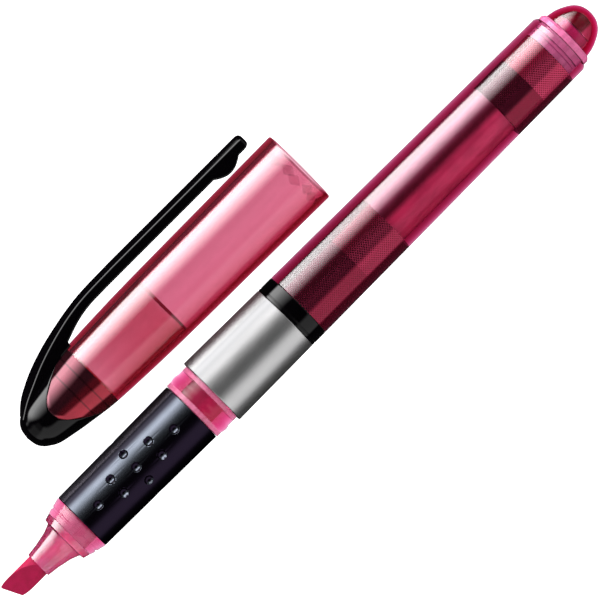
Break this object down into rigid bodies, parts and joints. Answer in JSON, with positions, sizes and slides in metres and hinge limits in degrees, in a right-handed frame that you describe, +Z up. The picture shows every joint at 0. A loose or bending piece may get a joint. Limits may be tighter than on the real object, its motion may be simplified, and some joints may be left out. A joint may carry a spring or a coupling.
{
  "type": "highlighter pen",
  "caption": "Liquid-ink highlighter with a chisel nib, dimpled rubber grip, satin metal ring and clear barrel, its clip-on cap lying beside it.",
  "frame": {"origin": "on the table the pen and its cap lie on, under the middle of the whole object's box", "axes": "+X along the pen from its nib to its tail, and along the cap from its closed end to its mouth; +Y from the pen to the cap, the way the clip points; +Z up"},
  "size_m": [0.1268, 0.0314, 0.0131],
  "materials": {
    "nib_fibre": "porous, soaked with ink",
    "pink_clear": "translucent, polished",
    "barrel_clear": "transparent, polished, with a fine printed mesh",
    "cap_clear": "transparent, polished",
    "cup_plastic": "translucent, satin",
    "gloss_black": "polished",
    "grip_rubber": "satin",
    "seal_rubber": "matte",
    "seal_silicone": "translucent, matte",
    "satin_metal": "satin, blasted",
    "feed_plastic": "moulded, stained by ink",
    "ink": "liquid"
  },
  "bodies": {
    "pen": {"nib": "nib_fibre", "nib_holder": "pink_clear", "ink_wick": "nib_fibre", "section": "pink_clear", "grip_sleeve": "grip_rubber", "ink_feed": "feed_plastic", "tank_stopper": "feed_plastic", "section_seal": "seal_rubber", "metal_ring": "satin_metal", "black_ring": "gloss_black", "barrel": "barrel_clear", "ink_charge": "ink", "tail_plug": "pink_clear", "tail_seal": "seal_silicone", "tail_dome": "barrel_clear"},
    "cap": {"cap_shell": "cap_clear", "inner_cup": "cup_plastic", "cap_crown": "gloss_black"},
    "clip": {"clip_arm": "gloss_black"}
  },
  "joints": [
    {"name": "cap_slide", "type": "slide", "parent": "pen", "child": "cap", "axis": [-1, 0, 0], "range_m": [0, 0.0782]},
    {"name": "clip_flex", "type": "hinge", "parent": "cap", "child": "clip", "pos_m": [-0.02964, 0.01302, 0.00612], "axis": [-0.0094, 0, 1], "range_deg": [0, 3.5], "stiffness_Nm_per_rad": 1.8}
  ]
}
